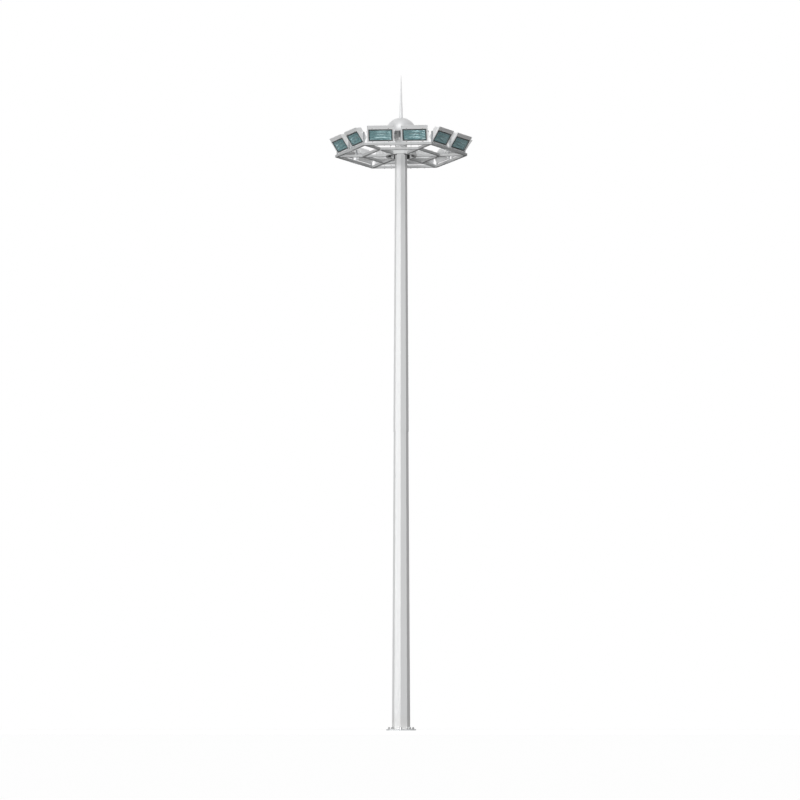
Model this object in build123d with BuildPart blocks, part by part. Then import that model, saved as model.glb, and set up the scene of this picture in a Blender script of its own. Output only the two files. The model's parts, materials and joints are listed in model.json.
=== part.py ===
from build123d import *
from math import acos, atan, cos, degrees, hypot, radians, sin, sqrt, tan
import os

# High mast floodlight tower. Millimetres, +Z up, origin at the centre of the base flange's underside.
# The lowering carriage is a six-sided ring frame whose front side faces -Y.

# ---- driving dimensions: mast ----
mast_height = 14830  # ground to the top of the shaft
base_across = 450  # octagonal shaft, across corners at its foot
top_across = 300  # across corners at its top
lower_wall = 8
upper_wall = 6
slip_share = 0.5  # the upper section starts half way up and slips over the lower one
slip_length = 650
slip_gap = 0.3

flange_border = 145  # beyond the shaft's corners
flange_thickness = 30
cable_hole_across = 300
anchor_border = 75  # shaft's corners to the anchor circle
anchor_count = 8
anchor_hole = 33

door_angle = 112.5  # the flat that holds the service door, at the rear left
door_centre_height = 1100
door_opening_width = 105
door_opening_height = 500
door_lap = 18
door_thickness = 5
door_corner = 25

# ---- driving dimensions: mast head ----
head_plate_border = 40
head_plate_thickness = 20
rope_hole_across = 130
sheave_count = 3
sheave_first_angle = 90
sheave_rim = 8  # beyond the rope's centre line
sheave_sides = 24
sheave_width = 30
sheave_land = 3
sheave_side_gap = 3
sheave_clearance = 12  # rim to the plates below and above
rope_across = 10
rope_sides = 6
rope_inner_radius = 40  # where the ropes go down inside the shaft
inner_fall_length = 300
cheek_thickness = 10
axle_across = 24
axle_overhang = 4
running_gap = 0.1
crown_plate_thickness = 12
post_across = 60

dome_clearance = 100  # outer rope falls to the dome's outside
dome_wall = 5
dome_skirt = 5
dome_flat_radius = 60
dome_sides = 32
dome_bands = 6

rod_flange_across = 110
rod_flange_thickness = 10
rod_base_across = 90
rod_tip_across = 12
rod_height = 1100
rod_sides = 16

# ---- driving dimensions: carriage ----
carriage_drop = 420  # shaft top to the underside of the frame, hoisted to its rest
tube = 60  # square hollow section
tube_wall = 4
inner_ring_share = 0.6  # inner beams' radius as a share of the outer beams'
corner_space = 85  # lamp's edge to the ring's corner
hub_sides = 12
hub_height = 120
hub_flange = 60
hub_plate = 8
weld_gap = 0.3

buffer_clearance = 37  # shaft's foot corners to the rubber
buffer_depth = 64
buffer_width = 80
anchor_plate_width = 70
anchor_plate_thickness = 12
socket_across = 30
socket_height = 70
socket_edge = 25  # rope centre to the anchor plate's inner edge

# ---- driving dimensions: floodlights ----
lamp_tilt = 35  # beam below the horizontal
lamp_width = 660
lamp_height = 430
lamp_gap = 184  # between the two lamps on a side
lamp_wall = 5
front_reach = 130  # pivot to the bezel's front face
back_reach = 30  # pivot to the back wall
bezel_depth = 26
bezel_corner = 12
body_border = 12  # bezel's edge to the body behind it
back_side_border = 30
back_end_border = 75
glass_side_border = 38
glass_top_border = 102
glass_bottom_border = 32
glass_thickness = 6
glass_lap = 8
glass_sink = 2
glass_gap = 0.5
fin_count = 7
fin_side_border = 72
fin_end_border = 25
fin_thickness = 4
fin_depth = 35

boss_across = 44
boss_gap = 0.5
arm_side_gap = 6  # lamp side to yoke arm
arm_thickness = 6
arm_width = 44
arm_chamfer = 12
arm_end = 22  # pivot axis to the arm's end
strap_clearance = 16  # bezel's swing to the yoke strap

# ---- sizes that follow ----
half_flat = radians(22.5)
side_slope = radians(30)
slip_bottom = mast_height * slip_share
slip_top = slip_bottom + slip_length
corner_step = (slip_gap + upper_wall) / cos(half_flat)
taper = (base_across / 2 + corner_step - top_across / 2) / (mast_height - flange_thickness)
flange_across = base_across + 2 * flange_border
anchor_circle = base_across + 2 * anchor_border
head_plate_across = top_across + 2 * head_plate_border

buffer_reach = base_across / 2 + buffer_clearance
hub_inner = buffer_reach + buffer_depth
hub_radius = hub_inner + hub_flange
rope_radius = buffer_reach + buffer_depth - socket_edge
sheave_axis_radius = (rope_radius + rope_inner_radius) / 2
rope_wrap_radius = (rope_radius - rope_inner_radius) / 2
sheave_rim_radius = rope_wrap_radius + sheave_rim
groove_half = rope_across / 2 + running_gap
groove_root = rope_wrap_radius - groove_half
groove_mouth = sheave_width / 2 - sheave_land
sheave_step = 360 / sheave_sides

head_top = mast_height + head_plate_thickness
sheave_axis = head_top + sheave_rim_radius + sheave_clearance
crown_bottom = sheave_axis + sheave_rim_radius + sheave_clearance
crown_top = crown_bottom + crown_plate_thickness
cheek_offset = sheave_width / 2 + sheave_side_gap
cheek_outer = cheek_offset + cheek_thickness
dome_radius = rope_radius + dome_clearance
dome_inner = dome_radius - dome_wall
dome_top = sheave_axis + sqrt(dome_radius**2 - dome_flat_radius**2)
dome_ceiling = sheave_axis + sqrt(dome_inner**2 - dome_flat_radius**2)
rod_foot = dome_top + rod_flange_thickness

frame_bottom = mast_height - carriage_drop
frame_top = frame_bottom + tube
hub_top = frame_bottom + hub_height
anchor_top = hub_top + anchor_plate_thickness + socket_height
lamp_spacing = lamp_width + lamp_gap
outer_flat_radius = (lamp_width + lamp_gap / 2 + corner_space) / tan(side_slope)
inner_flat_radius = outer_flat_radius * inner_ring_share
outer_line = outer_flat_radius - tube / 2
yoke_half = lamp_width / 2 + arm_side_gap
strap_top = frame_top + arm_thickness
pivot_rise = hypot(lamp_height / 2, front_reach) + strap_clearance
pivot_height = strap_top + pivot_rise

back_width = lamp_width - 2 * back_side_border
glass_width = lamp_width - 2 * glass_side_border
glass_height = lamp_height - glass_top_border - glass_bottom_border
glass_centre = (glass_bottom_border - glass_top_border) / 2
glass_back = front_reach - glass_sink - glass_thickness
bezel_back = front_reach - bezel_depth
fin_pitch = (back_width - 2 * fin_side_border) / (fin_count - 1)
fin_height = lamp_height - 2 * back_end_border - 2 * fin_end_border

corner_angles = [60 * i for i in range(6)]
side_angles = {
    "front": 270,
    "front_right": 330,
    "back_right": 30,
    "back": 90,
    "back_left": 150,
    "front_left": 210,
}
sheave_angles = [sheave_first_angle + 360 / sheave_count * i for i in range(sheave_count)]

os.makedirs("parts", exist_ok=True)


def lower_corner(height):
    """Corner radius of the lower section's outside at a height."""
    return base_across / 2 - taper * (height - flange_thickness)


def upper_corner(height):
    """Corner radius of the upper section's outside, which slips over the lower one."""
    return lower_corner(height) + corner_step


def frustum(sides, foot, top, low, high):
    """A many-sided solid between two heights, tapered from one corner radius to another."""
    lean = atan((foot - top) * cos(radians(180 / sides)) / (high - low))
    with BuildPart(mode=Mode.PRIVATE) as solid:
        with BuildSketch(Plane.XY.offset(low)):
            RegularPolygon(foot, sides)
        extrude(amount=high - low, taper=degrees(lean))
    return solid.part


def section(low, high, corner, wall):
    """A tapered eight-sided tube between two heights."""
    inset = wall / cos(half_flat)
    with BuildPart() as tube_part:
        add(frustum(8, corner(low), corner(high), low, high))
        add(frustum(8, corner(low) - inset, corner(high) - inset, low, high), mode=Mode.SUBTRACT)
    return tube_part.part


def upright(angle, radius=0, height=0):
    """A vertical plane through the mast's axis: x runs outward, y runs up."""
    outward = Vector(cos(radians(angle)), sin(radians(angle)), 0)
    origin = outward * radius + Vector(0, 0, height)
    return Plane(origin=origin, x_dir=outward, z_dir=outward.cross(Vector(0, 0, 1)))


def save(finished, name):
    finished.label = name
    export_step(finished, f"parts/{name}.step")


# ---- base flange ----
with BuildPart() as base_flange:
    with BuildSketch():
        RegularPolygon(radius=flange_across / 2, side_count=8)
        Circle(cable_hole_across / 2, mode=Mode.SUBTRACT)
        with PolarLocations(anchor_circle / 2, anchor_count):
            Circle(anchor_hole / 2, mode=Mode.SUBTRACT)
    extrude(amount=flange_thickness)
save(base_flange.part, "base_flange")

# ---- shaft sections, with the door opening through a flat of the lower one ----
door_out = Vector(cos(radians(door_angle)), sin(radians(door_angle)), 0)
door_flat = lower_corner(door_centre_height) * cos(half_flat)
door_normal = door_out + Vector(0, 0, taper * cos(half_flat))
door_plane = Plane(
    origin=door_out * door_flat + Vector(0, 0, door_centre_height),
    x_dir=Vector(0, 0, 1).cross(door_out),
    z_dir=door_normal,
)
with BuildPart() as lower_shaft:
    add(section(flange_thickness, slip_top, lower_corner, lower_wall))
    with BuildSketch(door_plane.offset(-3 * lower_wall)):
        RectangleRounded(door_opening_width, door_opening_height, door_corner)
    extrude(amount=6 * lower_wall, mode=Mode.SUBTRACT)
save(lower_shaft.part, "lower_shaft")

with BuildPart() as upper_shaft:
    add(section(slip_bottom, mast_height, upper_corner, upper_wall))
save(upper_shaft.part, "upper_shaft")

# ---- service door, closed over its opening ----
with BuildPart() as service_door:
    with BuildSketch(door_plane.offset(slip_gap)):
        RectangleRounded(
            door_opening_width + 2 * door_lap, door_opening_height + 2 * door_lap, door_corner
        )
    extrude(amount=door_thickness)
save(service_door.part, "service_door")

# ---- mast head: plate, cheeks, sheaves and axles ----
with BuildPart() as head_plate:
    with BuildSketch(Plane.XY.offset(mast_height)):
        RegularPolygon(radius=head_plate_across / 2, side_count=8)
        Circle(rope_hole_across / 2, mode=Mode.SUBTRACT)
    extrude(amount=head_plate_thickness)
save(head_plate.part, "head_plate")

cheek_foot = head_plate_across / 2 * cos(half_flat) - cheek_thickness
cheek_inner = rope_hole_across / 2 + cheek_thickness
cheek_top_reach = top_across / 2 * cos(half_flat) - cheek_thickness
cheek_nose = sheave_axis_radius + 2 * axle_across
cheek_outline = [
    (cheek_inner, head_top),
    (cheek_foot, head_top),
    (cheek_nose, sheave_axis - 2 * axle_across),
    (cheek_nose, sheave_axis + 2 * axle_across),
    (cheek_top_reach, crown_bottom),
    (cheek_inner, crown_bottom),
]
with BuildPart() as sheave_cheeks:
    for angle in sheave_angles:
        for offset in (cheek_offset, -cheek_outer):
            with BuildSketch(upright(angle).offset(offset)):
                Polygon(*cheek_outline, align=None)
                with Locations((sheave_axis_radius, sheave_axis)):
                    Circle(axle_across / 2 + running_gap, mode=Mode.SUBTRACT)
            extrude(amount=cheek_thickness)
save(sheave_cheeks.part, "sheave_cheeks")

def wheel_outline(radius):
    RegularPolygon(radius, sheave_sides, major_radius=False, rotation=sheave_step / 2)


with BuildPart() as sheaves:
    for angle in sheave_angles:
        wheel = upright(angle, sheave_axis_radius, sheave_axis)
        with BuildSketch(wheel.offset(-sheave_width / 2)):
            wheel_outline(groove_root)
        extrude(amount=sheave_width)
        for side in (-1, 1):
            face = wheel.origin + wheel.z_dir * side * sheave_width / 2
            inward = Plane(origin=face, x_dir=wheel.x_dir, z_dir=wheel.z_dir * -side)
            with BuildSketch(inward):
                wheel_outline(sheave_rim_radius)
            extrude(amount=sheave_land)
            flank = groove_mouth - groove_half
            with BuildSketch(inward.offset(sheave_land)):
                wheel_outline(sheave_rim_radius)
            extrude(amount=flank, taper=degrees(atan((sheave_rim_radius - groove_root) / flank)))
        with BuildSketch(wheel.offset(-sheave_width / 2)):
            Circle(axle_across / 2 + running_gap)
        extrude(amount=sheave_width, mode=Mode.SUBTRACT)
save(sheaves.part, "sheaves")

with BuildPart() as sheave_axles:
    for angle in sheave_angles:
        half_length = cheek_outer + axle_overhang
        with BuildSketch(upright(angle, sheave_axis_radius, sheave_axis).offset(-half_length)):
            Circle(axle_across / 2)
        extrude(amount=2 * half_length)
save(sheave_axles.part, "sheave_axles")

with BuildPart() as crown_plate:
    with BuildSketch(Plane.XY.offset(crown_bottom)):
        RegularPolygon(radius=top_across / 2, side_count=8)
    extrude(amount=crown_plate_thickness)
    with BuildSketch(Plane.XY.offset(crown_top)):
        Rectangle(post_across, post_across)
    extrude(amount=dome_ceiling - crown_top)
save(crown_plate.part, "crown_plate")

# ---- dome of tapering bands, and the lightning rod on its flat ----
def dome_stack(radius):
    """The solid inside one face of the dome: a skirt, then bands up to the flat."""
    end = acos(dome_flat_radius / radius)
    steps = [end * i / dome_bands for i in range(dome_bands + 1)]
    rings = [(radius * cos(step), sheave_axis + radius * sin(step)) for step in steps]
    with BuildPart() as stack:
        add(frustum(dome_sides, radius, radius, sheave_axis - dome_skirt, sheave_axis))
        for (foot, low), (top, high) in zip(rings, rings[1:]):
            add(frustum(dome_sides, foot, top, low, high))
    return stack.part


with BuildPart() as dome:
    add(dome_stack(dome_radius))
    add(dome_stack(dome_inner), mode=Mode.SUBTRACT)
save(dome.part, "dome")

with BuildPart() as lightning_rod:
    with BuildSketch(Plane.XY.offset(dome_top)):
        Circle(rod_flange_across / 2)
    extrude(amount=rod_flange_thickness)
    add(frustum(rod_sides, rod_base_across / 2, rod_tip_across / 2, rod_foot, rod_foot + rod_height))
save(lightning_rod.part, "lightning_rod")

# ---- hoist ropes: the falls outside the shaft, and the turns over the sheaves ----
with BuildPart() as hoist_ropes:
    with BuildSketch(Plane.XY.offset(anchor_top)):
        with PolarLocations(rope_radius, sheave_count, start_angle=sheave_first_angle):
            RegularPolygon(radius=rope_across / 2, side_count=rope_sides)
    extrude(amount=sheave_axis - anchor_top)
save(hoist_ropes.part, "hoist_ropes")

with BuildPart() as rope_turns:
    reach = rope_wrap_radius / cos(radians(sheave_step / 2))
    corners = [radians(sheave_step * (i + 0.5)) for i in range(sheave_sides // 2)]
    turn = [(reach * cos(corner), reach * sin(corner)) for corner in corners]
    route = [(rope_wrap_radius, 0), *turn, (-rope_wrap_radius, -inner_fall_length)]
    for angle in sheave_angles:
        wheel = upright(angle, sheave_axis_radius, sheave_axis)
        with BuildLine(wheel):
            Polyline(*route)
        with BuildSketch(Plane(wheel.origin, x_dir=wheel.x_dir, z_dir=Vector(0, 0, 1))):
            with Locations((rope_wrap_radius, 0)):
                RegularPolygon(radius=rope_across / 2, side_count=rope_sides)
        sweep(transition=Transition.RIGHT)
save(rope_turns.part, "rope_turns")

# ---- carriage hub: a channel bent in flats, its flanges turned inward ----
with BuildPart() as hub_ring:
    with BuildSketch(Plane.XY.offset(frame_bottom)):
        for radius, mode in ((hub_radius, Mode.ADD), (hub_inner, Mode.SUBTRACT)):
            RegularPolygon(radius, hub_sides, major_radius=False, rotation=180 / hub_sides, mode=mode)
    extrude(amount=hub_height)
    with BuildSketch(Plane.XY.offset(frame_bottom + hub_plate)):
        RegularPolygon(
            hub_radius - hub_plate, hub_sides, major_radius=False, rotation=180 / hub_sides
        )
    extrude(amount=hub_height - 2 * hub_plate, mode=Mode.SUBTRACT)
save(hub_ring.part, "hub_ring")

# ---- carriage ring: radial arms reach the corners, beams seat between them ----
with BuildPart() as radial_arms:
    for angle in corner_angles:
        for size, mode in ((tube, Mode.ADD), (tube - 2 * tube_wall, Mode.SUBTRACT)):
            inset = (tube - size) / 2
            face = outer_flat_radius - inset
            shoulder = (face - size / 2 * sin(side_slope)) / cos(side_slope)
            start = hub_radius + weld_gap
            with BuildSketch(Plane.XY.offset(frame_bottom + inset).rotated((0, 0, angle))):
                Polygon((start, -size / 2), (shoulder, -size / 2), (face / cos(side_slope), 0),
                        (shoulder, size / 2), (start, size / 2), align=None)
            extrude(amount=size, mode=mode)
save(radial_arms.part, "radial_arms")


def ring_beams(flat_radius):
    """Six hollow beams with their outer faces at a flat radius, cut to seat on the arms' sides."""
    seat = (tube / 2 + weld_gap) / cos(side_slope)
    with BuildPart() as beams:
        for angle in side_angles.values():
            for size, mode in ((tube, Mode.ADD), (tube - 2 * tube_wall, Mode.SUBTRACT)):
                inset = (tube - size) / 2
                inner, outer = flat_radius - tube + inset, flat_radius - inset
                cut = seat - 2 * inset
                inner_half = inner * tan(side_slope) - cut
                outer_half = outer * tan(side_slope) - cut
                with BuildSketch(Plane.XY.offset(frame_bottom + inset).rotated((0, 0, angle))):
                    Polygon((inner, -inner_half), (outer, -outer_half), (outer, outer_half),
                            (inner, inner_half), align=None)
                extrude(amount=size, mode=mode)
    return beams.part


save(ring_beams(outer_flat_radius), "outer_beams")
save(ring_beams(inner_flat_radius), "inner_beams")

# ---- rope anchors on the hub, and the rubber buffers that keep it off the shaft ----
with BuildPart() as rope_anchors:
    for angle in sheave_angles:
        with BuildSketch(Plane.XY.offset(hub_top).rotated((0, 0, angle))):
            with Locations((rope_radius - socket_edge, 0)):
                Rectangle(hub_flange + 2 * socket_edge, anchor_plate_width, align=(Align.MIN, Align.CENTER))
        extrude(amount=anchor_plate_thickness)
        with BuildSketch(Plane.XY.offset(hub_top + anchor_plate_thickness).rotated((0, 0, angle))):
            with Locations((rope_radius, 0)):
                Circle(socket_across / 2)
        extrude(amount=socket_height)
save(rope_anchors.part, "rope_anchors")

with BuildPart() as guide_buffers:
    for angle in corner_angles:
        with BuildSketch(Plane.XY.offset(frame_bottom).rotated((0, 0, angle))):
            with Locations((buffer_reach, 0)):
                Rectangle(buffer_depth - weld_gap, buffer_width, align=(Align.MIN, Align.CENTER))
        extrude(amount=hub_height)
save(guide_buffers.part, "guide_buffers")


# ---- floodlights: two on each side of the ring, on yokes ----
def lamp_centres():
    """Side name, number, side angle and sideways offset of each lamp."""
    for side, angle in side_angles.items():
        for number, offset in ((1, -lamp_spacing / 2), (2, lamp_spacing / 2)):
            yield f"{side}_{number}", angle, offset


def lamp_plane(angle, offset):
    """Origin on the lamp's pivot, x along the ring's side, y up the face, z along the beam."""
    outward = Vector(cos(radians(angle)), sin(radians(angle)), 0)
    sideways = Vector(0, 0, 1).cross(outward)
    beam = outward * cos(radians(lamp_tilt)) - Vector(0, 0, sin(radians(lamp_tilt)))
    origin = outward * outer_line + sideways * offset + Vector(0, 0, pivot_height)
    return Plane(origin=origin, x_dir=sideways, z_dir=beam)


with BuildPart() as yoke_straps:
    for name, angle, offset in lamp_centres():
        with BuildSketch(Plane.XY.offset(frame_top).rotated((0, 0, angle))):
            with Locations((outer_line, offset)):
                Rectangle(arm_width, 2 * (yoke_half + arm_thickness))
        extrude(amount=arm_thickness)
save(yoke_straps.part, "yoke_straps")

with BuildPart() as yoke_arms:
    for name, angle, offset in lamp_centres():
        for side in (-1, 1):
            face = offset + side * yoke_half
            base = upright(angle, outer_line, strap_top)
            with BuildSketch(base.offset(-face)) as outline:
                Rectangle(arm_width, pivot_rise + arm_end, align=(Align.CENTER, Align.MIN))
                chamfer(outline.vertices().group_by(Axis.Y)[-1], length=arm_chamfer)
            extrude(amount=-side * arm_thickness)
save(yoke_arms.part, "yoke_arms")


def tapered_block(plane, inset, mode):
    """The body behind the bezel, or the hollow inside it: its side view and its top view crossed."""
    front, back = bezel_back, inset - back_reach
    top_view = Plane(origin=plane.origin, x_dir=plane.x_dir, z_dir=plane.y_dir * -1)
    side_view = Plane(origin=plane.origin, x_dir=plane.y_dir, z_dir=plane.x_dir)
    with BuildPart(mode=Mode.PRIVATE) as block:
        for view, size, border in ((top_view, lamp_width, back_side_border),
                                   (side_view, lamp_height, back_end_border)):
            near, far = size / 2 - body_border - inset, size / 2 - border - inset
            with BuildSketch(view):
                Polygon((-near, front), (near, front), (far, back), (-far, back), align=None)
            first = view is top_view
            extrude(amount=lamp_width / 2, both=True, mode=Mode.ADD if first else Mode.INTERSECT)
    add(block.part, mode=mode)


def housing(plane):
    """The cast shell of a lamp: bezel, tapered body, cooling fins and the pivots' bosses."""
    with BuildPart() as shell:
        with BuildSketch(plane.offset(bezel_back)):
            RectangleRounded(lamp_width, lamp_height, bezel_corner)
        extrude(amount=bezel_depth)
        tapered_block(plane, 0, Mode.ADD)
        for fin in range(fin_count):
            across = (fin - (fin_count - 1) / 2) * fin_pitch
            with BuildSketch(plane.offset(-back_reach - fin_depth)):
                with Locations((across, 0)):
                    Rectangle(fin_thickness, fin_height)
            extrude(amount=fin_depth)
        for side in (-1, 1):
            ear = Plane(origin=plane.origin, x_dir=plane.y_dir, z_dir=plane.x_dir * side)
            with BuildSketch(ear.offset(back_width / 2 - lamp_wall)):
                RegularPolygon(radius=boss_across / 2, side_count=6)
            extrude(amount=yoke_half - boss_gap - back_width / 2 + lamp_wall)
        tapered_block(plane, lamp_wall, Mode.SUBTRACT)
        with BuildSketch(plane.offset(bezel_back)):
            with Locations((0, glass_centre)):
                Rectangle(glass_width, glass_height)
        extrude(amount=bezel_depth, mode=Mode.SUBTRACT)
        with BuildSketch(plane.offset(glass_back)):
            with Locations((0, glass_centre)):
                Rectangle(glass_width + 2 * glass_lap, glass_height + 2 * glass_lap)
        extrude(amount=glass_thickness + glass_sink, mode=Mode.SUBTRACT)
    return shell.part


def glass(plane):
    """The toughened pane in the bezel's rebate."""
    trim = 2 * (glass_lap - glass_gap)
    with BuildPart() as pane:
        with BuildSketch(plane.offset(glass_back)):
            with Locations((0, glass_centre)):
                Rectangle(glass_width + trim, glass_height + trim)
        extrude(amount=glass_thickness)
    return pane.part


for name, angle, offset in lamp_centres():
    place = lamp_plane(angle, offset)
    save(housing(place), f"housing_{name}")
    save(glass(place), f"glass_{name}")
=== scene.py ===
import json
from math import acos, cos, pi, radians, sin

import bmesh
import bpy
from mathutils import Matrix, Vector


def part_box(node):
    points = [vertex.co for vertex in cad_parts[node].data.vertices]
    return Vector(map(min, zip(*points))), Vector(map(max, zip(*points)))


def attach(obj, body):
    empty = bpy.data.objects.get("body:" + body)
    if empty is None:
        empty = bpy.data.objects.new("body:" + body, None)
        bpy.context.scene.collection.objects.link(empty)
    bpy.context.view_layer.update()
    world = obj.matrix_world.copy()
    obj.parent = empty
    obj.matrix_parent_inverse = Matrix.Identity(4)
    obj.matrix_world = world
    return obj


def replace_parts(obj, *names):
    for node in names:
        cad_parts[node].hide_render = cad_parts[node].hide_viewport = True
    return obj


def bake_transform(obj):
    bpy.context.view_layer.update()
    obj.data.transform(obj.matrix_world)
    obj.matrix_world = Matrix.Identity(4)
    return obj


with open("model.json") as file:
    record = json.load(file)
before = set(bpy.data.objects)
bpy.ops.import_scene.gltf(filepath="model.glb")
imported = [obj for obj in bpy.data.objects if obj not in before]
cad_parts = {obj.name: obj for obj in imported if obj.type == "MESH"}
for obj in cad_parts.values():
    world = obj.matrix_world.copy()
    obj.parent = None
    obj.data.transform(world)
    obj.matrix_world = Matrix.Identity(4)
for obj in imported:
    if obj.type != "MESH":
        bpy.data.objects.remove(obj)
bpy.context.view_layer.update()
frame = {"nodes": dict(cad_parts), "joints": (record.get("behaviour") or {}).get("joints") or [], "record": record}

# High mast floodlight tower. Metres, +Z up, in the frame of the CAD model.
# First the finishes, then the pieces of the head, shaft, carriage and lamps,
# then the camera, lights and floor.

UP = Vector((0, 0, 1))
MAST, CARRIAGE = "mast", "carriage"


# ---- finishes ----
class Wire:
    """An output socket. Adding to it and multiplying it add Math nodes."""

    def __init__(self, graph, socket):
        self.graph, self.socket = graph, socket

    def math(self, operation, first, second):
        return self.graph.node("Math", {0: first, 1: second}, operation=operation)

    def __add__(self, other):
        return self.math("ADD", self, other)

    def __radd__(self, other):
        return self.math("ADD", other, self)

    def __mul__(self, other):
        return self.math("MULTIPLY", self, other)


class Graph:
    """The nodes of a material or of the world."""

    def __init__(self, owner):
        owner.use_nodes = True
        self.owner, self.tree = owner, owner.node_tree
        self.tree.nodes.clear()

    def node(self, kind, inputs=None, output=0, stops=None, **settings):
        """Adds a node: its settings first, then its sockets' values or links."""
        node = self.tree.nodes.new("ShaderNode" + kind)
        for key, value in settings.items():
            setattr(node, key, value)
        if stops:
            elements = node.color_ramp.elements
            while len(elements) < len(stops):
                elements.new(0.5)
            for element, (where, shade) in zip(elements, stops):
                element.position, element.color = where, (shade, shade, shade, 1)
        for key, value in (inputs or {}).items():
            socket = node.inputs[key]
            if isinstance(value, Wire):
                self.tree.links.new(value.socket, socket)
            elif socket.type == "RGBA":
                socket.default_value = (*value, 1)
            else:
                socket.default_value = value
        return Wire(self, node.outputs[output]) if node.outputs else None

    def point(self, stretch=(1, 1, 1)):
        """A point of the piece, scaled along each axis."""
        return self.node("Mapping", {"Vector": self.node("TexCoord", output=3), "Scale": stretch})

    def noise(self, scale, detail=3, stretch=(1, 1, 1)):
        inputs = {"Vector": self.point(stretch), "Scale": scale, "Detail": detail}
        return self.node("TexNoise", inputs)

    def ramp(self, value, *stops):
        return self.node("ValToRGB", {0: value}, stops=stops)

    def mix(self, amount, first, second):
        return self.node("Mix", {0: amount, 6: first, 7: second}, output=2, data_type="RGBA")

    def bump(self, height, strength, distance=0.001):
        return self.node("Bump", {"Height": height, "Strength": strength, "Distance": distance})

    def height(self):
        return self.node("SeparateXYZ", {0: self.node("TexCoord", output=3)}, output=2)

    def surface(self, **inputs):
        named = {key.replace("_", " "): value for key, value in inputs.items()}
        self.node("OutputMaterial", {"Surface": self.node("BsdfPrincipled", named)})
        return self.owner


def finish(name):
    return Graph(bpy.data.materials.new(name))


def shaft_paint():
    """White satin paint on rolled plate: faint rain runs, and dust near the ground."""
    g = finish("shaft_paint")
    runs = g.ramp(g.noise(9, stretch=(3, 3, 0.05)), (0.35, 0.0), (0.75, 1.0))
    colour = g.mix(runs * 0.3, (0.845, 0.852, 0.855), (0.77, 0.78, 0.78))
    splash = g.height() * 1.6 + g.noise(14, stretch=(1, 1, 0.5)) * 0.5
    colour = g.mix(g.ramp(splash, (0.35, 0.2), (0.95, 0.0)), colour, (0.52, 0.49, 0.44))
    waves = g.noise(2.2, detail=1, stretch=(1, 1, 0.4))
    grain = g.noise(220, detail=2)
    return g.surface(
        Base_Color=colour,
        Specular_IOR_Level=0.6,
        Roughness=0.17 + runs * 0.07,
        Normal=g.bump(waves + grain * 0.1, 0.1),
    )


def frame_paint(name, fresh, worn):
    """Matt paint on welded hollow sections, worn a little dull."""
    g = finish(name)
    patches = g.ramp(g.noise(6, detail=5), (0.4, 0.0), (0.7, 1.0))
    colour = g.mix(patches * 0.5, fresh, worn)
    return g.surface(
        Base_Color=colour,
        Specular_IOR_Level=0.0,
        Roughness=0.45 + patches * 0.1,
        Normal=g.bump(g.noise(260), 0.1),
    )


def lamp_casting():
    """Powder coat over a sand-cast aluminium shell."""
    g = finish("lamp_casting")
    grime = g.ramp(g.noise(7, detail=4, stretch=(1, 1, 0.4)), (0.45, 0.0), (0.8, 1.0))
    colour = g.mix(grime * 0.4, (0.92, 0.926, 0.928), (0.80, 0.81, 0.81))
    grain = g.noise(420, detail=4)
    rough = 0.36 + grain * 0.08
    return g.surface(Base_Color=colour, Roughness=rough, Normal=g.bump(grain, 0.18))


def galvanised():
    """Hot-dip zinc with its spangle."""
    g = finish("galvanised")
    inputs = {"Vector": g.point(), "Scale": 55}
    cells = g.node("TexVoronoi", inputs, output=1, feature="F1")
    tone = g.node("SeparateColor", {0: cells})
    cloud = g.noise(12, detail=5)
    colour = g.mix(tone, (0.46, 0.475, 0.49), (0.62, 0.63, 0.64))
    rough = 0.4 + tone * 0.12 + cloud * 0.1
    return g.surface(Base_Color=colour, Metallic=0.8, Roughness=rough, Normal=g.bump(cloud, 0.08))


def bolt_zinc():
    """Zinc-plated fasteners, darker than the plate round them."""
    g = finish("bolt_zinc")
    mark = g.noise(60, detail=4)
    colour = g.mix(mark, (0.34, 0.35, 0.36), (0.50, 0.50, 0.49))
    return g.surface(Base_Color=colour, Metallic=0.9, Roughness=0.32 + mark * 0.14)


def dome_gloss():
    """Gloss plastic with the faint rings of its mould."""
    g = finish("dome_gloss")
    film = g.noise(5, detail=4, stretch=(1, 1, 0.3))
    rings = g.node("SeparateXYZ", {0: g.point((0, 0, 90))}, output=2)
    ring_lines = g.node("Math", {0: rings}, operation="SINE")
    colour = g.mix(film * 0.4, (0.88, 0.885, 0.89), (0.80, 0.81, 0.82))
    return g.surface(
        Base_Color=colour,
        Metallic=0.15,
        Roughness=0.26 + film * 0.08,
        Normal=g.bump(ring_lines * 0.3 + film, 0.04),
    )


def rod_alloy():
    """Drawn aluminium, bright but weathered."""
    g = finish("rod_alloy")
    drawn = g.noise(30, stretch=(6, 6, 0.1))
    colour = g.mix(drawn, (0.70, 0.71, 0.72), (0.80, 0.80, 0.80))
    return g.surface(Base_Color=colour, Metallic=0.5, Roughness=0.34 + drawn * 0.1)


def sheave_iron():
    """Cast iron under grey primer."""
    g = finish("sheave_iron")
    cast = g.noise(160, detail=5)
    colour = g.mix(cast, (0.34, 0.35, 0.36), (0.46, 0.46, 0.47))
    rough = 0.46 + cast * 0.15
    return g.surface(Base_Color=colour, Metallic=0.4, Roughness=rough, Normal=g.bump(cast, 0.3))


def rope_steel():
    """Stranded wire with a film of grease."""
    g = finish("rope_steel")
    grease = g.noise(80, detail=4)
    colour = g.mix(grease, (0.20, 0.20, 0.20), (0.46, 0.46, 0.45))
    return g.surface(Base_Color=colour, Metallic=0.8, Roughness=0.36 + grease * 0.2)


def buffer_rubber():
    """Black rubber, scuffed grey."""
    g = finish("buffer_rubber")
    scuff = g.noise(90, detail=4)
    colour = g.mix(scuff, (0.022, 0.022, 0.023), (0.06, 0.06, 0.058))
    return g.surface(Base_Color=colour, Roughness=0.68 + scuff * 0.14, Normal=g.bump(scuff, 0.2))


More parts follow.
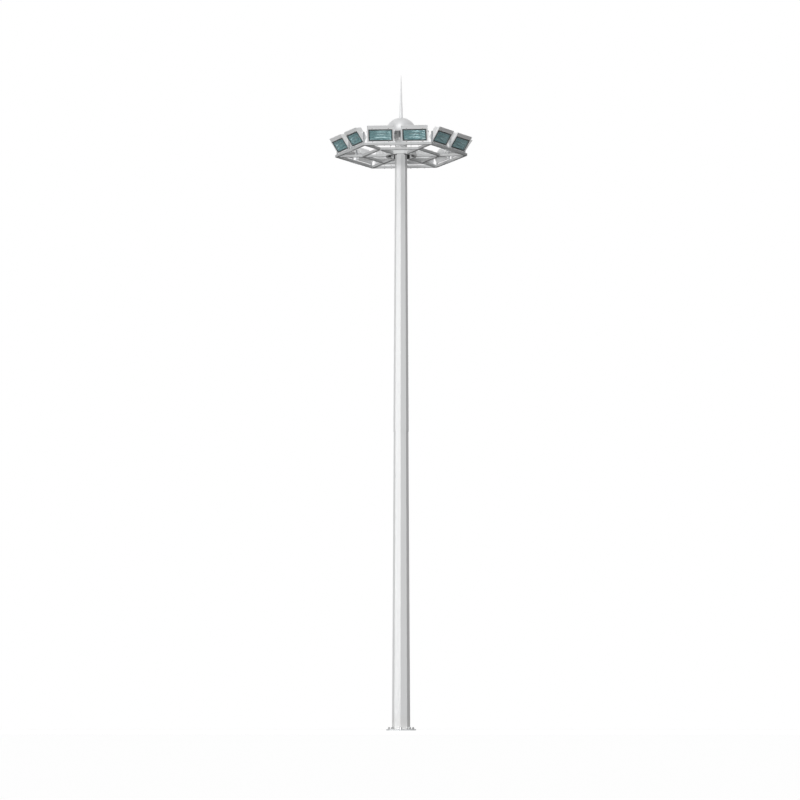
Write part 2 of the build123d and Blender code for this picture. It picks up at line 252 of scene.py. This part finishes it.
def lamp_glass():
    """Green-tinted toughened glass, seen into."""
    g = finish("lamp_glass")
    film = g.noise(9, stretch=(1, 1, 0.6))
    colour = g.mix(film, (0.09, 0.30, 0.33), (0.15, 0.36, 0.38))
    rough = 0.05 + film * 0.05
    return g.surface(Base_Color=colour, Roughness=rough, Alpha=0.3)


def reflector_alloy():
    """Anodised aluminium sheet with its rolling marks."""
    g = finish("reflector_alloy")
    rolled = g.noise(40, stretch=(0.3, 3, 3))
    colour = g.mix(rolled, (0.70, 0.86, 0.88), (0.77, 0.91, 0.92))
    return g.surface(Base_Color=colour, Metallic=0.75, Roughness=0.27 + rolled * 0.08)


def frosted_quartz():
    """The tube's fused quartz and its white ceramic holders."""
    g = finish("frosted_quartz")
    frost = g.noise(50, detail=2)
    colour = g.mix(frost, (0.80, 0.82, 0.82), (0.90, 0.90, 0.88))
    return g.surface(Base_Color=colour, Roughness=0.15 + frost * 0.15)


FINISHES = {
    "white_paint": shaft_paint(),
    "galvanised_steel": galvanised(),
    # The frame's grey is a darker copy of the hub's near-white paint: two-tone paint, and also painted shade on
    # the beams and arms.
    "frame_paint": frame_paint("frame_paint", (0.66, 0.668, 0.67), (0.57, 0.58, 0.58)),
    "dome_shell": dome_gloss(),
    "rod_metal": rod_alloy(),
    "cast_iron": sheave_iron(),
    "wire_rope": rope_steel(),
    "buffer_rubber": buffer_rubber(),
    "lamp_housing": lamp_casting(),
    "lamp_glass": lamp_glass(),
}
# The hub's near-white copy of the frame paint is two-tone paint that also paints light onto the hub.
HUB_PAINT_AND_PAINTED_LIGHT = frame_paint("hub_paint_and_painted_light", (0.85, 0.858, 0.86), (0.77, 0.78, 0.78))
BOLTS, REFLECTOR, QUARTZ = bolt_zinc(), reflector_alloy(), frosted_quartz()
for row in frame["record"]["subparts"]:
    materials = frame["nodes"][row["node"]].data.materials
    materials.clear()
    materials.append(HUB_PAINT_AND_PAINTED_LIGHT if row["node"] == "hub_ring" else FINISHES[row["material_slot"]])


# ---- ways of making a piece ----
# A fastener's proportions, as shares of its thread's diameter.
WASHER_REACH, WASHER_THICK = 1.1, 0.16
HEX_CORNER, CROWN_CORNER = 0.95, 0.8
HEAD_HIGH, NUT_HIGH = 0.5, 0.8
CHAMFER, STUD_END = 0.1, 0.4


def axes(origin, x, z):
    """Axes at a place of their own, as a matrix: x across, z out of the surface."""
    x, z = Vector(x).normalized(), Vector(z).normalized()
    matrix = Matrix((x, z.cross(x), z)).transposed().to_4x4()
    matrix.translation = Vector(origin)
    return matrix


def move(x=0, y=0, z=0):
    return Matrix.Translation((x, y, z))


def turn(angle):
    return Matrix.Rotation(angle, 4, "Z")


def spread(count, first=0.0):
    """Even angles round the mast."""
    return [first + i * 2 * pi / count for i in range(count)]


def piece(name, mesh, body, slot, material=None, smooth=30):
    """Makes an object of a bmesh, which rides on a body."""
    data = bpy.data.meshes.new(name)
    mesh.normal_update()
    mesh.to_mesh(data)
    mesh.free()
    data.materials.append(material or FINISHES[slot])
    data.polygons.foreach_set("use_smooth", [True] * len(data.polygons))
    data.set_sharp_from_angle(angle=radians(smooth))
    obj = bpy.data.objects.new(name, data)
    bpy.context.scene.collection.objects.link(obj)
    if body:
        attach(obj, body)
    return obj


def bolts_piece(name, mesh, body):
    piece(name, mesh, body, "galvanised_steel", BOLTS)


def bar(mesh, at, size, soften):
    """A rectangular bar centred on its axes' origin, with softened edges."""
    matrix = at @ Matrix.Diagonal((*size, 1))
    made = bmesh.ops.create_cube(mesh, size=1, matrix=matrix)["verts"]
    edges = list({edge for vert in made for edge in vert.link_edges})
    bmesh.ops.bevel(
        mesh, geom=edges, offset=soften, segments=2, affect="EDGES", profile=0.5, material=-1
    )


def drum(mesh, at, radius, length, sides, top=None):
    """A round or few-sided bar that stands on its axes' origin, tapered to any top radius."""
    bmesh.ops.create_cone(
        mesh,
        cap_ends=True,
        segments=sides,
        radius1=radius,
        radius2=radius if top is None else top,
        depth=length,
        matrix=at @ move(z=length / 2),
    )


def hex_bolt(mesh, at, thread, shank=0.0):
    """A hexagon head on a washer, with any shank the other way."""
    washer, head, crown = thread * WASHER_THICK, thread * HEAD_HIGH, thread * CHAMFER
    corner = thread * HEX_CORNER
    drum(mesh, at, thread * WASHER_REACH, washer, 20)
    drum(mesh, at @ move(z=washer), corner, head, 6)
    drum(mesh, at @ move(z=washer + head), corner, crown, 6, top=thread * CROWN_CORNER)
    if shank:
        drum(mesh, at @ move(z=-shank), thread / 2, shank, 12)


def stud_nut(mesh, at, thread, proud):
    """A washer and nut with the stud standing through them."""
    washer, chamfer = thread * WASHER_THICK, thread * CHAMFER
    drum(mesh, at, thread * WASHER_REACH, washer, 20)
    drum(mesh, at @ move(z=washer), thread * HEX_CORNER, thread * NUT_HIGH, 6)
    drum(mesh, at, thread / 2, proud - chamfer, 14)
    drum(mesh, at @ move(z=proud - chamfer), thread / 2, chamfer, 14, top=thread * STUD_END)


def turned(mesh, outline, steps, at=None):
    """A profile of (radius, height) points spun round the z axis."""
    points = [mesh.verts.new((radius, 0, height)) for radius, height in outline]
    edges = [mesh.edges.new(pair) for pair in zip(points, points[1:])]
    bmesh.ops.spin(
        mesh,
        geom=points + edges,
        cent=(0, 0, 0),
        axis=UP,
        angle=2 * pi,
        steps=steps,
        use_merge=True,
    )
    bmesh.ops.remove_doubles(mesh, verts=mesh.verts, dist=1e-6)
    bmesh.ops.recalc_face_normals(mesh, faces=mesh.faces)
    if at:
        bmesh.ops.transform(mesh, matrix=at, verts=mesh.verts)


def ring_at(mesh, at, radius, sides, capped=False):
    """A loop of edges round its axes' origin."""
    made = bmesh.ops.create_circle(
        mesh, cap_ends=capped, segments=sides, radius=radius, matrix=at
    )["verts"]
    return list({edge for vert in made for edge in vert.link_edges})


def skinned(mesh, places, radii, sides):
    """A closed tube through rings at the places."""
    last = len(places) - 1
    rings = []
    for index, (at, radius) in enumerate(zip(places, radii)):
        rings.append(ring_at(mesh, at, radius, sides, capped=index in (0, last)))
    for one, two in zip(rings, rings[1:]):
        bmesh.ops.bridge_loops(mesh, edges=one + two)


def weld_bead(mesh, start, end, radius, ripple=0.012):
    """A rippled bead from one point to another."""
    run, neck = end - start, radius * 0.75
    count = 2 * max(2, round(run.length / ripple))
    across = run.orthogonal()
    places = [axes(start + run * i / count, across, run) for i in range(count + 1)]
    radii = [radius if i % 2 else neck for i in range(count + 1)]
    skinned(mesh, places, radii, 6)


def welds_piece(name, mesh, body, slot):
    bmesh.ops.recalc_face_normals(mesh, faces=mesh.faces)
    piece(name, mesh, body, slot, smooth=60)


def strand_rope(mesh, route, side, radius, pitch=0.065, strands=6):
    """Strands that wind round a route, and one along its middle."""
    orbit, thin = radius * 0.58, radius * 0.42
    lengths = [0.0]
    for one, two in zip(route, route[1:]):
        lengths.append(lengths[-1] + (two - one).length)
    for strand in range(strands + 1):
        reach = orbit if strand < strands else 0.0
        places = []
        for index, point in enumerate(route):
            ahead = route[min(index + 1, len(route) - 1)] - route[max(index - 1, 0)]
            across = ahead.normalized().cross(side)
            angle = 2 * pi * (lengths[index] / pitch + strand / strands)
            offset = (side * cos(angle) + across * sin(angle)) * reach
            places.append(axes(point + offset, side, ahead))
        skinned(mesh, places, [thin] * len(places), 6)
    bmesh.ops.recalc_face_normals(mesh, faces=mesh.faces)


# ---- sizes from the CAD model ----
flange_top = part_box("base_flange")[1].z
anchor_count, anchor_reach, anchor_thread = 8, 0.300, 0.030
shaft_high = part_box("lower_shaft")[1]
upper_low, upper_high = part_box("upper_shaft")
plate_low, plate_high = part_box("head_plate")
dome_low, dome_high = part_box("dome")
rod_low, rod_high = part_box("lightning_rod")
rope_low, rope_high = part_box("hoist_ropes")
arms_low, arms_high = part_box("radial_arms")
strap_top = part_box("yoke_straps")[1].z
socket_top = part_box("rope_anchors")[1].z

sheave_axis = rope_high.z
rope_thick = 0.010
rope_reach, sheave_reach, wrap_radius = 0.300, 0.170, 0.130
inner_fall = 0.300
sheave_turns = [radians(90 + 120 * i) for i in range(3)]
cheek_face = 0.028

tube = arms_high.z - arms_low.z
outer_flat = -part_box("outer_beams")[0].y
inner_flat = -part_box("inner_beams")[0].y
hub_flat = -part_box("hub_ring")[0].y

lamp_tilt = radians(35)
lamp_wide, lamp_high = 0.660, 0.430
lamp_front, pane_front = 0.130, 0.128
window_wide, window_high, window_centre = 0.584, 0.296, -0.035
yoke_gap, yoke_thick = 0.006, 0.006
yoke_outside = lamp_wide / 2 + (yoke_gap + yoke_thick)


class Lamp:
    """One floodlight: its body, and its own axes with x along the ring and z along the beam."""

    def __init__(self, joint):
        self.name = joint["name"][len("tilt_") :]
        self.body = joint["child"]
        self.pivot, self.sideways = Vector(joint["pos_m"]), Vector(joint["axis"])
        self.outward = self.sideways.cross(UP)
        beam = self.outward * cos(lamp_tilt) - UP * sin(lamp_tilt)
        self.at = axes(self.pivot, self.sideways, beam)


lamps = [Lamp(joint) for joint in frame["joints"] if joint["name"].startswith("tilt_")]


# ---- dome, rod and pulley head ----
def dome_shell():
    """A round dome with its own wall, a flat top and an eased rim."""
    mesh = bmesh.new()
    radius, wall, flat, edge = dome_high.x, 0.005, 0.060, 0.001
    centre, rim = sheave_axis, dome_low.z

    def arc(reach, steps=24):
        end = acos(flat / reach)
        angles = [end * i / steps for i in range(steps + 1)]
        return [(reach * cos(a), centre + reach * sin(a)) for a in angles]

    outside, inside = arc(radius), arc(radius - wall)
    lip = [(radius - wall, rim + edge), (radius - wall * 0.8, rim), (radius - edge, rim)]
    lip.append((radius, rim + edge))
    outline = [(0, inside[-1][1]), *reversed(inside), *lip, *outside, (0, outside[-1][1])]
    turned(mesh, outline, 96)
    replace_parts(piece("dome_shell", mesh, MAST, "dome_shell", smooth=40), "dome")


def dome_screws():
    """Screws let into the dome's wall near its rim, their heads just under its surface."""
    mesh = bmesh.new()
    radius, thick, above_rim = 0.006, 0.004, 0.014
    spot = (dome_high.x * 0.999 - thick, 0, dome_low.z + above_rim)
    for angle in spread(12, pi / 12):
        drum(mesh, turn(angle) @ axes(spot, (0, 1, 0), (1, 0, 0)), radius, thick, 14)
    bolts_piece("dome_screws", mesh, MAST)


def lightning_spike():
    """A turned spike on a flange, with its screws."""
    mesh = bmesh.new()
    foot, tip = rod_low.z, rod_high.z
    rim, base, point = rod_high.x, 0.045, 0.006
    thick, edge, fillet, blunt = 0.010, 0.001, 0.004, 0.004
    screw_reach, screw_thread = 0.0497, 0.0045
    outline = [
        (0, foot),
        (rim - edge, foot),
        (rim, foot + edge),
        (rim, foot + thick - edge),
        (rim - edge, foot + thick),
        (base + fillet, foot + thick),
        (base, foot + thick + fillet),
        (point, tip - blunt),
        (point / 2, tip - edge),
        (0, tip),
    ]
    turned(mesh, outline, 48)
    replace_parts(piece("lightning_spike", mesh, MAST, "rod_metal", smooth=25), "lightning_rod")
    mesh = bmesh.new()
    for angle in spread(4, pi / 4):
        spot = turn(angle) @ Vector((screw_reach, 0, foot + thick))
        hex_bolt(mesh, axes(spot, (1, 0, 0), UP), screw_thread)
    bolts_piece("spike_screws", mesh, MAST)


def hoist_falls():
    """Rope falls from the pulleys to the carriage."""
    mesh = bmesh.new()
    steps = 42
    for angle in sheave_turns:
        outward = Vector((cos(angle), sin(angle), 0))
        foot, head = outward * rope_reach + UP * rope_low.z, outward * rope_reach + UP * sheave_axis
        route = [head.lerp(foot, i / steps) for i in range(steps + 1)]
        strand_rope(mesh, route, UP.cross(outward), rope_thick / 2)
    obj = piece("hoist_falls", mesh, None, "wire_rope")
    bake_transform(obj)
    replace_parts(obj, "hoist_ropes")


def rope_over_sheaves():
    """The ropes over their pulleys and down inside the shaft."""
    mesh = bmesh.new()
    arc_steps, fall_steps = 42, 30
    for angle in sheave_turns:
        outward = Vector((cos(angle), sin(angle), 0))
        centre = outward * sheave_reach + UP * sheave_axis
        wrap = [pi * i / arc_steps for i in range(arc_steps + 1)]
        route = [centre + (outward * cos(a) + UP * sin(a)) * wrap_radius for a in wrap]
        low = route[-1] - UP * inner_fall
        route += [route[-1].lerp(low, i / fall_steps) for i in range(1, fall_steps + 1)]
        strand_rope(mesh, route, UP.cross(outward), rope_thick / 2)
    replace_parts(piece("rope_over_sheaves", mesh, MAST, "wire_rope"), "rope_turns")


def rope_collars():
    """A collar, a tapered sleeve over the rope's end and a hexagon nut on each rope socket."""
    mesh = bmesh.new()
    collar, nut_drop = 0.014, 0.070
    for angle in sheave_turns:
        spot = turn(angle) @ Vector((rope_reach, 0, socket_top))
        at = axes(spot, (1, 0, 0), UP)
        drum(mesh, at @ move(z=-collar), radius=0.0175, length=collar, sides=24, top=0.015)
        drum(mesh, at, radius=0.010, length=0.012, sides=16, top=0.0065)
        drum(mesh, at @ move(z=-nut_drop), radius=0.024, length=0.012, sides=6)
    bolts_piece("rope_collars", mesh, CARRIAGE)


def head_bolts():
    """Bolts through the head plate, clear of the pulleys, and keepers over the axles' ends."""
    mesh = bmesh.new()
    reach, clear = 0.171, 0.2
    keeper, keeper_up, screw_out = (0.060, 0.014, 0.004), 0.017, 0.022
    for angle in spread(8):
        spot = turn(angle) @ Vector((reach, 0, plate_high.z))
        if min(abs((angle - a + pi) % (2 * pi) - pi) for a in sheave_turns) > clear:
            hex_bolt(mesh, axes(spot, (1, 0, 0), UP), thread=0.012)
    for angle in sheave_turns:
        outward = Vector((cos(angle), sin(angle), 0))
        sideways = UP.cross(outward)
        for way in (-1, 1):
            spot = outward * sheave_reach + UP * sheave_axis + sideways * way * cheek_face
            at = axes(spot, outward, sideways * way)
            bar(mesh, at @ move(0, keeper_up, keeper[2] / 2), keeper, soften=0.0008)
            for shift in (-screw_out, screw_out):
                hex_bolt(mesh, at @ move(shift, keeper_up, keeper[2]), thread=0.006)
    bolts_piece("head_bolts", mesh, MAST)


# ---- shaft ----
def anchor_nuts():
    """A washer, nut and lock nut on each foundation bolt."""
    mesh = bmesh.new()
    nut_top = anchor_thread * (WASHER_THICK + NUT_HIGH)
    for angle in spread(anchor_count):
        out = turn(angle) @ Vector((1, 0, 0))
        at = axes(out * anchor_reach + UP * flange_top, out, UP)
        stud_nut(mesh, at, anchor_thread, proud=0.055)
        drum(mesh, at @ move(z=nut_top), radius=0.027, length=0.012, sides=6)
    bolts_piece("anchor_nuts", mesh, MAST)


def octagon(corner, height):
    """The corners of one of the shaft's outlines, each with the next."""
    spots = [turn(angle) @ Vector((corner, 0, height)) for angle in spread(8)]
    return zip(spots, spots[1:] + spots[:1])


def shaft_welds():
    """The fillet at the shaft's foot, the sealed edge at the slip joint and the plate's fillet."""
    mesh = bmesh.new()
    foot_leg, joint_bead, top_corner, below_plate = 0.003, 0.004, 0.1505, 0.002
    for one, two in octagon(shaft_high.x + foot_leg, flange_top + foot_leg):
        weld_bead(mesh, one, two, radius=0.009, ripple=0.014)
    for one, two in octagon(upper_high.x - joint_bead, upper_low.z):
        weld_bead(mesh, one, two, joint_bead, ripple=0.02)
    for one, two in octagon(top_corner, plate_low.z - below_plate):
        weld_bead(mesh, one, two, radius=0.005)
    welds_piece("shaft_welds", mesh, MAST, "white_paint")


def door_fittings():
    """The service door's five-sided screws, its raised panel and the rain lip over it."""
    angle, face, centre, lean = radians(112.5), 0.2076, 1.100, 0.0051
    out = turn(angle) @ Vector((1, 0, 0))
    at = axes(out * face + UP * centre, UP.cross(out), out + UP * lean)
    half_wide, half_high = 0.0705, 0.268
    from_side, from_end, washer = 0.011, 0.045, 0.0015
    mesh = bmesh.new()
    for way in (-1, 1):
        for lift in (-1, 1):
            spot = at @ move(way * (half_wide - from_side), lift * (half_high - from_end))
            drum(mesh, spot, radius=0.009, length=washer, sides=20)
            drum(mesh, spot @ move(z=washer), radius=0.0065, length=0.005, sides=5, top=0.0055)
    bolts_piece("door_screws", mesh, MAST)
    lip, lip_above, lip_out = (0.165, 0.005, 0.026), 0.009, 0.003
    panel = (0.113, 0.500, 0.003)
    mesh = bmesh.new()
    bar(mesh, at @ move(0, half_high + lip_above, lip_out), lip, soften=0.001)
    bar(mesh, at @ move(z=panel[2] / 2), panel, soften=0.001)
    piece("door_lip", mesh, MAST, "white_paint")


# ---- carriage ----
def arm_welds():
    """Fillets where the arms meet the hub and where the beams meet the arms."""
    mesh = bmesh.new()
    half, hub_bead, beam_bead = tube / 2, 0.006, 0.0045
    low, high = arms_low.z, arms_high.z
    for angle in spread(6):
        at = turn(angle)
        for way in (-1, 1):
            foot = [at @ Vector((hub_flat, way * half, level)) for level in (low, high)]
            weld_bead(mesh, *foot, hub_bead)
            for flat in (outer_flat - tube, inner_flat, inner_flat - tube):
                reach = (flat - half * sin(pi / 6)) / cos(pi / 6)
                ends = [at @ Vector((reach, way * half, level)) for level in (low, high)]
                weld_bead(mesh, *ends, beam_bead)
        for level in (low, high):
            ends = [at @ Vector((hub_flat, way * half, level)) for way in (-1, 1)]
            weld_bead(mesh, *ends, hub_bead)
    welds_piece("arm_welds", mesh, CARRIAGE, "frame_paint")


def yoke_bolts():
    """Two bolts through each yoke's strap and the beam under it."""
    mesh = bmesh.new()
    thread, from_middle, low = 0.012, 0.09, arms_low.z
    for lamp in lamps:
        for along in (-from_middle, from_middle):
            spot = lamp.sideways * along + Vector((lamp.pivot.x, lamp.pivot.y, 0))
            hex_bolt(mesh, axes(spot + UP * strap_top, lamp.sideways, UP), thread)
            stud_nut(mesh, axes(spot + UP * low, lamp.sideways, -UP), thread, proud=0.018)
    bolts_piece("yoke_bolts", mesh, CARRIAGE)


def splice_plates():
    """A bolted cover plate under the middle of each outer beam."""
    plates, nuts = bmesh.new(), bmesh.new()
    plate, low = (0.400, 0.050, 0.006), arms_low.z
    thick = plate[2]
    for angle in spread(6, pi / 6):
        out = turn(angle) @ Vector((1, 0, 0))
        side = UP.cross(out)
        at = axes(out * (outer_flat - tube / 2) + UP * low, side, -UP)
        bar(plates, at @ move(z=thick / 2), plate, soften=0.001)
        for along in (-0.165, -0.055, 0.055, 0.165):
            stud_nut(nuts, at @ move(along, 0, thick), thread=0.012, proud=0.016)
    piece("splice_plates", plates, CARRIAGE, "galvanised_steel")
    bolts_piece("splice_nuts", nuts, CARRIAGE)


def yoke_welds():
    """Beads where the yokes' arms stand on their straps."""
    mesh = bmesh.new()
    half_length, bead = 0.022, 0.0035
    for lamp in lamps:
        foot = Vector((lamp.pivot.x, lamp.pivot.y, strap_top))
        for way in (-1, 1):
            inner = foot + lamp.sideways * way * (yoke_outside - yoke_thick)
            reach = lamp.outward * half_length
            weld_bead(mesh, inner - reach, inner + reach, bead)
    welds_piece("yoke_welds", mesh, CARRIAGE, "galvanised_steel")


# ---- inside and on the face of a lamp ----
def pivot_bolts(lamp):
    """A bolt and washer outside each yoke arm, on the lamp's axis."""
    mesh = bmesh.new()
    for way in (-1, 1):
        at = lamp.at @ axes((way * yoke_outside, 0, 0), (0, 1, 0), (way, 0, 0))
        hex_bolt(mesh, at, thread=0.016, shank=0.010)
    bolts_piece(f"pivot_bolts_{lamp.name}", mesh, lamp.body)


def reflector(lamp):
    """A fluted bowl from the window's edge back to the shell."""
    mesh = bmesh.new()
    half_wide, half_high, mouth = 0.291, 0.147, 0.1025
    depth, flute, flutes = 0.090, 0.021, 4
    bmesh.ops.create_grid(mesh, x_segments=14, y_segments=4 * flutes, size=1)
    for vert in mesh.verts:
        across, rise = vert.co.x, vert.co.y
        bowl = (1 - across**2) * (1 - abs(rise) ** 3)
        groove = abs(sin(pi * flutes * (rise + 1) / 2)) * flute * min(1, 3 * bowl)
        level = mouth - depth * bowl - groove
        vert.co = (across * half_wide, window_centre + rise * half_high, level)
    bmesh.ops.solidify(mesh, geom=mesh.faces[:], thickness=0.001)
    bmesh.ops.transform(mesh, matrix=lamp.at, verts=mesh.verts)
    piece(f"reflector_{lamp.name}", mesh, lamp.body, "rod_metal", REFLECTOR, smooth=12)


def lamp_tube(lamp):
    """A double-ended discharge tube with pinched ends, between ceramic holders on legs."""
    mesh = bmesh.new()
    height, half, radius = 0.050, 0.105, 0.0125
    at = lamp.at @ axes((0, window_centre, height), (0, 0, 1), (1, 0, 0))
    ends = [(0, -half), (0.005, -half), (0.011, -half + 0.02), (radius, -half + 0.03)]
    turned(mesh, ends + [(reach, -along) for reach, along in reversed(ends)], 20, at)
    holder, past_end = (0.046, 0.028, 0.030), 0.020
    leg, leg_out, leg_drop = (0.006, 0.018, 0.045), 0.012, 0.030
    for way in (-1, 1):
        end = lamp.at @ move(way * (half + past_end), window_centre, height)
        bar(mesh, end, holder, soften=0.003)
        bar(mesh, end @ move(way * leg_out, 0, -leg_drop), leg, soften=0.001)
    piece(f"lamp_tube_{lamp.name}", mesh, lamp.body, "lamp_housing", QUARTZ)


def window_seal_with_painted_shade(lamp):
    """A rubber frame over the pane's edge, which fills the rebate round it. Its black runs wide over the pane: a
    real seal, and also painted shade for the shadow in the window's recess.
    """
    mesh = bmesh.new()
    # The wide black lip is partly a real seal and partly painted shade for the recess round the pane.
    lip, proud, border, soften = 0.028, 0.001, 0.0205, 0.0008
    thick = lamp_front + proud - pane_front
    height = pane_front + thick / 2
    wide, high = window_wide - 2 * border, window_high - 2 * border
    for way in (-1, 1):
        level = lamp.at @ move(0, window_centre + way * (high + lip) / 2, height)
        bar(mesh, level, (wide + 2 * lip, lip, thick), soften)
        side = lamp.at @ move(way * (wide + lip) / 2, window_centre, height)
        bar(mesh, side, (lip, high, thick), soften)
    piece(f"window_seal_with_painted_shade_{lamp.name}", mesh, lamp.body, "buffer_rubber")


def window_clips(lamp):
    """Spring clips over the pane's edges, and screws at the bezel's corners."""
    mesh = bmesh.new()
    clip, clip_out, screw_out, thick = (0.026, 0.040, 0.003), 0.014, 0.022, 0.003
    for along in (-0.2, 0.2):
        for way in (-1, 1):
            spot = lamp.at @ move(along, window_centre + way * window_high / 2, lamp_front)
            bar(mesh, spot @ move(0, way * clip_out, thick / 2), clip, soften=0.0008)
            on_clip = spot @ move(0, way * screw_out, thick)
            drum(mesh, on_clip, radius=0.005, length=0.003, sides=12, top=0.004)
    corner_x, corner_y = lamp_wide / 2 - 0.018, lamp_high / 2 - 0.016
    for x in (-corner_x, corner_x):
        for y in (-corner_y, corner_y):
            corner = lamp.at @ move(x, y, lamp_front)
            drum(mesh, corner, radius=0.0065, length=0.003, sides=14, top=0.0055)
    bolts_piece(f"window_clips_{lamp.name}", mesh, lamp.body)


dome_shell()
dome_screws()
lightning_spike()
hoist_falls()
rope_over_sheaves()
rope_collars()
head_bolts()
anchor_nuts()
shaft_welds()
door_fittings()
arm_welds()
yoke_bolts()
splice_plates()
yoke_welds()
for lamp in lamps:
    pivot_bolts(lamp)
    reflector(lamp)
    lamp_tube(lamp)
    window_seal_with_painted_shade(lamp)
    window_clips(lamp)


# ---- camera ----
azimuth, pitch, distance = radians(3.4), radians(6.783), 68.7
aside, eye = 0.027, 0.04
camera_data = bpy.data.cameras.new("camera")
camera_data.sensor_width = 36
camera_data.lens = 124.4
camera_data.clip_end = 500
camera = bpy.data.objects.new("camera", camera_data)
camera.location = turn(azimuth) @ Vector((-aside, -distance, eye))
camera.rotation_euler = (pi / 2 + pitch, 0, azimuth)
bpy.context.scene.collection.objects.link(camera)
bpy.context.scene.camera = camera


# ---- lights and floor ----
def heading(angle, lift):
    """A direction by its angle from +X and its height above the ground, in degrees."""
    around, rise = radians(angle), radians(lift)
    return Vector((cos(around) * cos(rise), sin(around) * cos(rise), sin(rise)))


def light(name, kind, location, towards, power, mirrored=True):
    """A light that isn't seen itself, and shows in shiny surfaces only if it is mirrored."""
    data = bpy.data.lights.new(name, kind)
    data.energy = power
    source = bpy.data.objects.new(name, data)
    source.location = location
    source.rotation_euler = towards.to_track_quat("-Z", "Y").to_euler()
    source.visible_camera = False
    source.visible_glossy = mirrored
    bpy.context.scene.collection.objects.link(source)
    return data


def softbox(name, angle, reach, height, size, level, rise=0):
    """A panel turned to the mast, which lights a white face square to it to a level."""
    place = heading(angle, 0) * reach + UP * height
    towards = -heading(angle, 0) * reach + UP * rise
    data = light(name, "AREA", place, towards, level * (pi * reach) ** 2)
    data.shape = "RECTANGLE"
    data.size, data.size_y = size


def distant(name, angle, lift, level, spread, mirrored=True):
    """Light from far off, its spread in degrees, which lights a white face to a level."""
    data = light(name, "SUN", UP, -heading(angle, lift), level * pi, mirrored)
    data.angle = radians(spread)


softbox("side_panel", 219, 30, 11, (2.8, 24), 0.2)
softbox("low_panel", 264, 45, 3.2, (18, 5), 0.45, rise=8)
distant("top_front", 256, 48, 0.28, 38)
distant("back", 68, 24, 0.32, 14, mirrored=False)


def plain_sight(graph, mirrored):
    """1 where it is seen straight or through glass, a share in a mirror, and 0 as a light."""
    straight = graph.node("LightPath", output="Is Camera Ray")
    glossy = graph.node("LightPath", output="Is Glossy Ray")
    through = graph.node("LightPath", output="Is Transmission Ray")
    total = straight + glossy * mirrored
    return graph.node("Math", {0: total, 1: through}, operation="ADD", use_clamp=True)


world = bpy.data.worlds.new("studio")
bpy.context.scene.world = world
sky = Graph(world)
ambient, seen_in_mirrors = 0.2, 1.0
strength = ambient + plain_sight(sky, seen_in_mirrors) * (1 - ambient)
backdrop = sky.node("Background", {"Color": (1, 1, 1), "Strength": strength})
sky.node("OutputWorld", {"Surface": backdrop})


def studio_floor():
    """A wide floor: near white to the eye, with the mast's shadow, but dark as a light source."""
    mesh = bmesh.new()
    seen_in_mirrors = 0.5
    bmesh.ops.create_circle(mesh, cap_ends=True, segments=96, radius=220)
    data = bpy.data.meshes.new("floor")
    mesh.to_mesh(data)
    mesh.free()
    floor = bpy.data.objects.new("floor", data)
    bpy.context.scene.collection.objects.link(floor)
    g = finish("studio_floor")
    returned = g.node("BsdfDiffuse", {"Color": (0.05, 0.05, 0.05)})
    shaded = g.node("BsdfDiffuse", {"Color": (0.35, 0.35, 0.35)})
    glow = g.node("Emission", {"Color": (1, 1, 1), "Strength": 0.8})
    seen = g.node("AddShader", {0: shaded, 1: glow})
    sight = plain_sight(g, seen_in_mirrors)
    both = g.node("MixShader", {0: sight, 1: returned, 2: seen})
    g.node("OutputMaterial", {"Surface": both})
    data.materials.append(g.owner)


studio_floor()
bpy.context.scene.view_settings.view_transform = "Standard"
